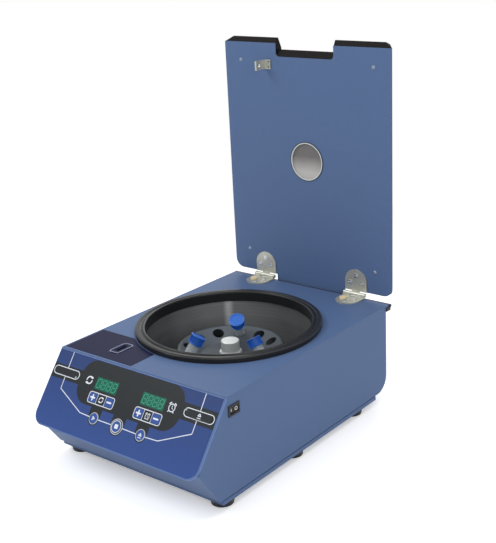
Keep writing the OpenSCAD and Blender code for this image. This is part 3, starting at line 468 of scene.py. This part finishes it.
def rockerFinish(name, look):
    # The rocker's two marks, a ring and a bar, lie on its face and follow its hollow.
    material, shader, place = newFinish(name, {"Metallic": 0.0, "Specular IOR Level": 0.2})
    across, along, height = place.parts()
    dy = (along - look["middle"][0]) * 1000
    dz = (height - look["middle"][1]) * 1000
    ringY = dy - look["ringAt"]
    ring = abs((ringY * ringY + dz * dz).root() - look["ringRadius"]) - look["stroke"] / 2
    barY = abs(dy + look["ringAt"]) - look["stroke"] * 0.55
    bar = barY.most(abs(dz) - look["ringRadius"])
    onFace = across.over(look["faceFrom"])
    marks = inked(ring.least(bar)) * onFace
    grain = place.grain(1400.0, 3.0)
    black = grain.blend(shaded(look["colour"], 0.8), shaded(look["colour"], 1.2))
    plug(shader, "Base Color", marks.blend(black, look["marks"]))
    plug(shader, "Roughness", grain * 0.15 + 0.3)
    plug(shader, "Normal", bumped(place, grain, 0.15, 0.0001, 0.0003))
    return material


bluePaint = paintFinish("bluePaint", {"colour": tone(80, 102, 140), "grain": 900.0, "rough": 0.42,
                                      "bump": 0.5, "edge": 0.0007})
platePaint = paintFinish("platePaint", {"colour": tone(98, 124, 172), "grain": 900.0, "rough": 0.36,
                                        "bump": 0.2, "edge": 0.0005})
motorPaint = paintFinish("motorPaint", {"colour": tone(70, 72, 78), "grain": 700.0, "rough": 0.45,
                                        "bump": 0.3, "edge": 0.0006})
coverPaint = paintFinish("coverPaint", {"colour": tone(20, 17, 17), "shine": 0.08, "grain": 1100.0,
                                        "rough": 0.42, "bump": 0.4, "edge": 0.0008})
filmInk = filmFinish("filmInk", filmPrint)
labelFilm = labelFinish("labelFilm", {"colour": tone(17, 21, 54), "middle": (-73, 40.5), "half": (8.2, 15.7),
                                      "corner": 4.4, "line": 1.3, "border": tone(150, 158, 184)})
blackPlastic = plasticFinish("blackPlastic", {"colour": tone(42, 42, 46), "grain": 1300.0, "rough": 0.32,
                                              "bump": 0.25, "edge": 0.0004})
rubber = plasticFinish("rubber", {"colour": tone(40, 41, 43), "grain": 700.0, "rough": 0.42, "bump": 0.5,
                                  "edge": 0.0005})
gasketRubber = plasticFinish("gasketRubber", {"colour": tone(27, 28, 29), "grain": 500.0, "rough": 0.26,
                                              "bump": 0.3, "shine": 0.3, "edge": 0.0004})
creamPlastic = plasticFinish("creamPlastic", {"colour": tone(226, 208, 170), "grain": 900.0, "rough": 0.4,
                                              "bump": 0.15, "edge": 0.0004})
capPlastic = plasticFinish("capPlastic", {"colour": tone(34, 98, 190), "grain": 1300.0, "rough": 0.34,
                                          "bump": 0.2, "shine": 0.4})
boardPlastic = plasticFinish("boardPlastic", {"colour": tone(36, 96, 58), "grain": 500.0, "rough": 0.35,
                                              "bump": 0.2})
lampPlastic = plasticFinish("lampPlastic", {"colour": tone(150, 160, 158), "grain": 900.0, "rough": 0.15,
                                            "bump": 0.05})
filterPlastic = plasticFinish("filterPlastic", {"colour": tone(8, 92, 72), "grain": 600.0, "rough": 0.1,
                                                "bump": 0.03})
zincPlate = metalFinish("zincPlate", {"colour": tone(198, 200, 193), "metal": 0.6, "grain": 160.0,
                                      "stretch": (1, 1, 6), "contrast": 0.14, "rough": 0.18, "bump": 0.25,
                                      "stain": tone(158, 154, 134), "cloud": 90.0, "edge": 0.0003})
brightSteel = metalFinish("brightSteel", {"colour": tone(222, 224, 226), "metal": 1.0, "grain": 300.0,
                                          "stretch": (1, 1, 1), "contrast": 0.06, "rough": 0.1, "bump": 0.1})
rivetMetal = metalFinish("rivetMetal", {"colour": tone(132, 146, 162), "metal": 0.5, "grain": 400.0,
                                        "stretch": (1, 1, 1), "contrast": 0.1, "rough": 0.3, "bump": 0.1})
ringMetal = ringFinish("ringMetal", {"middle": 0.3545, "split": 0.0292, "inner": tone(206, 210, 206),
                                     "outer": tone(36, 44, 62)})
# Painted highlights on the bowl's wall: bright stripes painted into its colour in place of the lamps'
# reflections.
bowlPaintedHighlights = [
    {"angle": 133, "half": 46, "share": 0.55, "colour": tone(196, 197, 196)},
    {"angle": 131, "half": 4.5, "share": 1.0, "colour": tone(250, 250, 250)},
    {"angle": 168, "half": 12, "share": 0.3, "colour": tone(170, 168, 164)},
]
bowlSteel = turnedFinish("bowlSteel", {"colour": tone(128, 130, 132), "metal": 0.55, "grain": 420.0,
                                       "climb": 1.0, "contrast": 0.3, "rough": 0.22, "bump": 0.12,
                                       "paintedHighlights": bowlPaintedHighlights})
rotorAlloy = turnedFinish("rotorAlloy", {"colour": tone(82, 88, 94), "metal": 0.6, "grain": 1500.0,
                                         "climb": 0.5, "contrast": 0.12, "rough": 0.36, "bump": 0.25,
                                         "edge": 0.0008})
brightAlloy = turnedFinish("brightAlloy", {"colour": tone(208, 210, 207), "metal": 0.4, "grain": 2600.0,
                                           "climb": 1.0, "contrast": 0.08, "rough": 0.24, "bump": 0.3,
                                           "edge": 0.0005, "worn": 1.0})
tubeClear = clearFinish("tubeClear", {"colour": tone(240, 247, 250), "clear": 0.7, "bend": 1.25,
                                      "rough": 0.12, "grain": 300.0, "low": 0.0, "high": 0.16,
                                      "shadeAtHigh": 0.95})
# The pane's colour is painted darker towards its top, a painted shade that stands in for a reflection.
paneClear = clearFinish("paneClear", {"colour": tone(190, 187, 186), "clear": 0.2, "bend": 1.2,
                                      "rough": 0.08, "grain": 40.0, "low": 0.338, "high": 0.362,
                                      "shadeAtHigh": 0.36})
rockerPlastic = rockerFinish("rockerPlastic", {"colour": tone(38, 38, 42), "middle": (-0.154966, 0.1325),
                                               "ringAt": 4.2, "ringRadius": 2.0, "stroke": 0.8,
                                               "faceFrom": 0.1465, "marks": tone(228, 228, 224)})
print("finishes made")

dressing = {
    bluePaint: ["base_tray", "side_sheet_left", "side_sheet_right", "rear_wall", "front_wall", "top_cover",
                "lid_plate"],
    platePaint: ["front_panel"],
    filmInk: ["panel_overlay", "key_speed_up", "key_speed_down", "key_time_up", "key_time_down", "key_left",
              "key_middle", "key_right", "key_lid"],
    labelFilm: ["deck_label", "slot_bezel"],
    filterPlastic: ["display_windows"],
    blackPlastic: ["display_modules", "rear_bumper", "switch_housing", "power_inlet", "lock_body"],
    rubber: ["motor_boot", "motor_dampers", "feet"],
    gasketRubber: ["chamber_gasket"],
    boardPlastic: ["control_board", "power_board"],
    lampPlastic: ["panel_lamps"],
    motorPaint: ["motor", "motor_plate"],
    ringMetal: ["pane_ring"],
    rivetMetal: ["lid_rivets"],
    coverPaint: ["lid_cover"],
    bowlSteel: ["chamber_bowl"],
    rotorAlloy: ["rotor"],
    brightAlloy: ["rotor_knob"],
    zincPlate: ["lock_bolt", "hinge_deck_leaves", "hinge_lid_leaves", "hinge_pins", "striker",
                "inlet_pins", "foot_screws"],
    brightSteel: ["drive_shaft", "hinge_lid_screws", "hinge_deck_screws"],
    creamPlastic: ["hinge_pads"],
    tubeClear: ["tube_a", "tube_b", "tube_c"],
    capPlastic: ["cap_a", "cap_b", "cap_c"],
    paneClear: ["lid_pane"],
    rockerPlastic: ["switch_rocker"],
}
for material, members in dressing.items():
    for member in members:
        mesh = nodes[member].data
        mesh.materials.clear()
        mesh.materials.append(material)
        for face in mesh.polygons:
            face.material_index = 0
undressed = sorted(set(nodes) - {member for members in dressing.values() for member in members})
print("CAD nodes dressed, left over:", undressed)


def freshStart():
    if bpy.context.mode != "OBJECT":
        bpy.ops.object.mode_set(mode="OBJECT")
    bpy.ops.object.select_all(action="DESELECT")


def only(piece):
    freshStart()
    piece.select_set(True)
    bpy.context.view_layer.objects.active = piece


def pickFaces(piece, wanted):
    # Selects the faces that a rule on their middle and normal names, in edit mode.
    edit = bmesh.from_edit_mesh(piece.data)
    edit.normal_update()
    for face in edit.faces:
        face.select_set(False)
    edit.select_flush(False)
    for face in edit.faces:
        if wanted(face.calc_center_median(), face.normal):
            face.select_set(True)
    edit.select_flush(True)
    bmesh.update_edit_mesh(piece.data)


def settle(piece, matrix):
    # Puts the place into the mesh, so that the object itself sits at the origin.
    only(piece)
    piece.matrix_world = matrix @ piece.matrix_world
    bpy.ops.object.transform_apply(location=True, rotation=True, scale=True)


def copyOf(piece, name, matrix):
    made = piece.copy()
    made.data = piece.data.copy()
    made.name = name
    made.data.name = name
    bpy.context.scene.collection.objects.link(made)
    settle(made, matrix)
    return made


def joined(pieces, name):
    freshStart()
    for piece in pieces:
        piece.select_set(True)
    bpy.context.view_layer.objects.active = pieces[0]
    bpy.ops.object.join()
    made = bpy.context.object
    made.name = name
    made.data.name = name
    return made


panelPlace = (Matrix.Translation((0, -drawing["middle"], drawing["deck"]))
              @ Matrix.Rotation(drawing["panelTilt"], 4, "X"))


def glowFinish(name, look):
    material, shader, place = newFinish(name, {"Emission Strength": look["strength"], "Roughness": 0.5})
    grain = place.grain(700.0, 2.0)
    lit = grain.blend(shaded(look["colour"], 0.8), shaded(look["colour"], 1.15))
    plug(shader, "Base Color", lit)
    plug(shader, "Emission Color", lit)
    return material


# The lit digits lie on the panel, leaning to the right. Lengths are metres.
digitLook = {"tall": 0.0118, "wide": 0.0066, "bar": 0.0013, "gap": 0.0003, "pitch": 0.0096, "lean": 0.12,
             "base": 0.00033, "thick": 0.00014, "speedX": -0.0426, "timeX": 0.0426, "down": 0.0318,
             "speedText": "0888", "timeText": "8888"}
litGreen = glowFinish("litGreen", {"colour": tone(16, 132, 104), "strength": 0.06})
segmentsOn = {"0": "abcdef", "8": "abcdefg"}


def segmentBar(look):
    # One lit bar, lying along x: a plane with mitred ends, given its thickness by an extrusion.
    freshStart()
    bpy.ops.mesh.primitive_plane_add(size=1, location=(0, 0, 0))
    bar = bpy.context.object
    bar.scale = (look["wide"] - 2 * look["gap"], look["bar"], 1)
    bpy.ops.object.transform_apply(location=False, rotation=False, scale=True)
    bpy.ops.object.mode_set(mode="EDIT")
    bpy.ops.mesh.select_all(action="SELECT")
    bpy.ops.mesh.bevel(offset=look["bar"] * 0.49, segments=1, affect="VERTICES")
    bpy.ops.mesh.select_all(action="SELECT")
    bpy.ops.mesh.extrude_region_move(TRANSFORM_OT_translate={"value": (0, 0, look["thick"])})
    bpy.ops.mesh.select_all(action="SELECT")
    bpy.ops.mesh.normals_make_consistent(inside=False)
    bpy.ops.object.mode_set(mode="OBJECT")
    return bar


def displayRow(name, text, middle, look):
    half = look["tall"] / 4
    side = look["wide"] / 2
    places = {"a": (0, 2 * half, 0), "b": (side, half, 1), "c": (side, -half, 1), "d": (0, -2 * half, 0),
              "e": (-side, -half, 1), "f": (-side, half, 1), "g": (0, 0, 0)}
    stretch = look["tall"] / 2 / look["wide"]
    bar = segmentBar(look)
    made = []
    for number, sign in enumerate(text):
        left = (number - (len(text) - 1) / 2) * look["pitch"]
        for letter in segmentsOn[sign]:
            x, y, upright = places[letter]
            turn = Matrix.Identity(4)
            if upright:
                turn = Matrix.Rotation(math.pi / 2, 4, "Z") @ Matrix.Diagonal((stretch, 1, 1, 1))
            made.append(copyOf(bar, "bar", Matrix.Translation((left + x, y, 0)) @ turn))
    bpy.data.objects.remove(bar)
    row = joined(made, name)
    lean = Matrix.Identity(4)
    lean[0][1] = look["lean"]
    row.data.transform(lean)
    settle(row, panelPlace @ Matrix.Translation((middle, -look["down"], look["base"])))
    row.data.materials.clear()
    row.data.materials.append(litGreen)
    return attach(row, "housing")


displayRow("digits_speed", digitLook["speedText"], digitLook["speedX"], digitLook)
displayRow("digits_time", digitLook["timeText"], digitLook["timeX"], digitLook)
print("digits made")


# The ribbed screw caps, each on its tube's tilted axis.
capLook = {"radius": 0.0105, "tall": 0.013, "boreRadius": 0.0083, "boreDepth": 0.0125, "ribs": 36,
           "ribDepth": 0.00045, "ribSlope": 0.00012, "edge": 0.0009, "skirt": 0.0018, "topRim": 0.0012,
           "topDip": 0.0003, "smoothUnder": math.radians(28), "show": 0.0185, "ringRadius": 0.0625,
           "tilt": math.radians(32), "turn": -3.2, "pocketZ": 0.117895}


def ribbedCap(look):
    # A closed cylinder on the tube's own axis, its mouth downwards.
    freshStart()
    sides = look["ribs"] * 2
    tall = look["tall"]
    bpy.ops.mesh.primitive_cylinder_add(vertices=sides, radius=look["radius"], depth=tall,
                                        location=(0, 0, look["show"] + tall / 2))
    cap = bpy.context.object
    bpy.ops.object.transform_apply(location=True, rotation=False, scale=False)
    bpy.ops.object.mode_set(mode="EDIT")
    # A plain skirt below the ribs and a plain band above them.
    low = look["show"] + look["skirt"]
    high = look["show"] + tall - look["edge"] * 1.5
    for level in (low, high):
        bpy.ops.mesh.select_all(action="SELECT")
        bpy.ops.mesh.bisect(plane_co=(0, 0, level), plane_no=(0, 0, 1))

    def everyOther(middle, normal):
        if abs(normal.z) > 0.5 or not low < middle.z < high:
            return False
        return int(round(math.atan2(middle.y, middle.x) / (2 * math.pi / sides) - 0.5)) % 2 == 0

    pickFaces(cap, everyOther)
    bpy.ops.mesh.inset(thickness=look["ribSlope"], use_individual=True, depth=-look["ribDepth"])
    pickFaces(cap, lambda middle, normal: normal.z > 0.9)
    bpy.ops.mesh.bevel(offset=look["edge"], segments=3, affect="EDGES")
    pickFaces(cap, lambda middle, normal: normal.z > 0.9 and middle.z > look["show"] + tall * 0.9)
    bpy.ops.mesh.inset(thickness=look["topRim"])
    bpy.ops.mesh.inset(thickness=look["topDip"], depth=-look["topDip"])
    pickFaces(cap, lambda middle, normal: normal.z < -0.9 and middle.z < look["show"] + 0.0001)
    bpy.ops.mesh.inset(thickness=look["radius"] - look["boreRadius"])
    bpy.ops.mesh.extrude_region_move(TRANSFORM_OT_translate={"value": (0, 0, look["boreDepth"])})
    bpy.ops.object.mode_set(mode="OBJECT")
    bpy.ops.object.shade_smooth_by_angle(angle=look["smoothUnder"])
    return cap


def tubeAxis(number, look):
    axis = Matrix.Translation((0, drawing["chamberY"] - drawing["middle"], look["pocketZ"]))
    return (axis @ Matrix.Rotation(math.radians(look["turn"] + 120 * number), 4, "Z")
            @ Matrix.Translation((look["ringRadius"], 0, 0)) @ Matrix.Rotation(-look["tilt"], 4, "Y"))


master = ribbedCap(capLook)
for number, letter in enumerate("abc"):
    cap = copyOf(master, "screw_cap_" + letter, tubeAxis(number, capLook))
    cap.data.materials.clear()
    cap.data.materials.append(capPlastic)
    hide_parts("cap_" + letter)
    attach(cap, "cap_" + letter)
bpy.data.objects.remove(master)
print("caps made")


# The floor shows its shadows near the part and fades to plain white from there.
floorLook = {"size": 60.0, "colour": tone(254, 254, 254), "lift": 0.31, "drop": 0.0002, "nearTo": 0.4,
             "farFrom": 1.1}


def lookedAt(start, mirror=1.0):
    # How much a ray comes from the camera, from a mirror or through glass.
    seen = start.node("LightPath", None, None, "Is Camera Ray")
    glossy = start.node("LightPath", None, None, "Is Glossy Ray")
    through = start.node("LightPath", None, None, "Is Transmission Ray")
    return seen.most(glossy * mirror).most(through)


def makeFloor(look):
    freshStart()
    bpy.ops.mesh.primitive_plane_add(size=look["size"], location=(0, 0, -look["drop"]))
    floor = bpy.context.object
    floor.name = "floor"
    material = bpy.data.materials.new("floorPale")
    material.use_nodes = True
    tree = material.node_tree
    shader = tree.nodes["Principled BSDF"]
    shader.inputs["Base Color"].default_value = look["colour"]
    shader.inputs["Roughness"].default_value = 0.9
    shader.inputs["Specular IOR Level"].default_value = 0.0
    start = Wire(tree)
    glow = start.node("Emission", None, {"Color": (1, 1, 1, 1), "Strength": 1.0})
    across, along, height = start.node("TexCoord", None, None, "Object").parts()
    away = (across * across + along * along).root()
    faded = ((away - look["nearTo"]) / (look["farFrom"] - look["nearTo"])).clamped()
    looked = lookedAt(start)
    lifted = looked * look["lift"]
    plug(shader, "Emission Color", start.node("CombineXYZ", None, {0: lifted, 1: lifted, 2: lifted}))
    shader.inputs["Emission Strength"].default_value = 1.0
    lit = Wire(tree, shader.outputs[0])
    mixed = start.node("MixShader", None, {0: looked * faded, 1: lit, 2: glow})
    tree.links.new(mixed.socket, tree.nodes["Material Output"].inputs[0])
    floor.data.materials.append(material)


lampAim = Vector((0, 0, 0.2))
lamps = {
    "keyLamp": {"place": (-1.5, -1.5, 2.3), "size": 1.6, "power": 33},
    "sideLamp": {"place": (2.4, -1.6, 1.5), "size": 2.2, "power": 28},
    "topLamp": {"place": (0.3, 0.6, 2.6), "size": 2.0, "power": 20},
    "backLamp": {"place": (-1.2, 2.4, 1.6), "size": 2.0, "power": 16},
}


def makeLamps(setups):
    for name, look in setups.items():
        bpy.ops.object.light_add(type="AREA", location=look["place"])
        lamp = bpy.context.object
        lamp.name = name
        lamp.data.shape = "DISK"
        lamp.data.size = look["size"]
        lamp.data.energy = look["power"]
        facing = lampAim - Vector(look["place"])
        lamp.rotation_euler = facing.to_track_quat("-Z", "Y").to_euler()


def makeWorld(strength, mirror):
    # White where it is looked at, and dimmer as a light.
    world = bpy.data.worlds.new("studio")
    bpy.context.scene.world = world
    world.use_nodes = True
    tree = world.node_tree
    backdrop = tree.nodes["Background"]
    level = lookedAt(Wire(tree), mirror) * (1 - strength) + strength
    backdrop.inputs["Color"].default_value = (1, 1, 1, 1)
    tree.links.new(level.socket, backdrop.inputs["Strength"])


makeFloor(floorLook)
makeLamps(lamps)
makeWorld(strength=0.5, mirror=0.75)
bpy.context.scene.view_settings.view_transform = "Standard"
print("stage made")

freshStart()
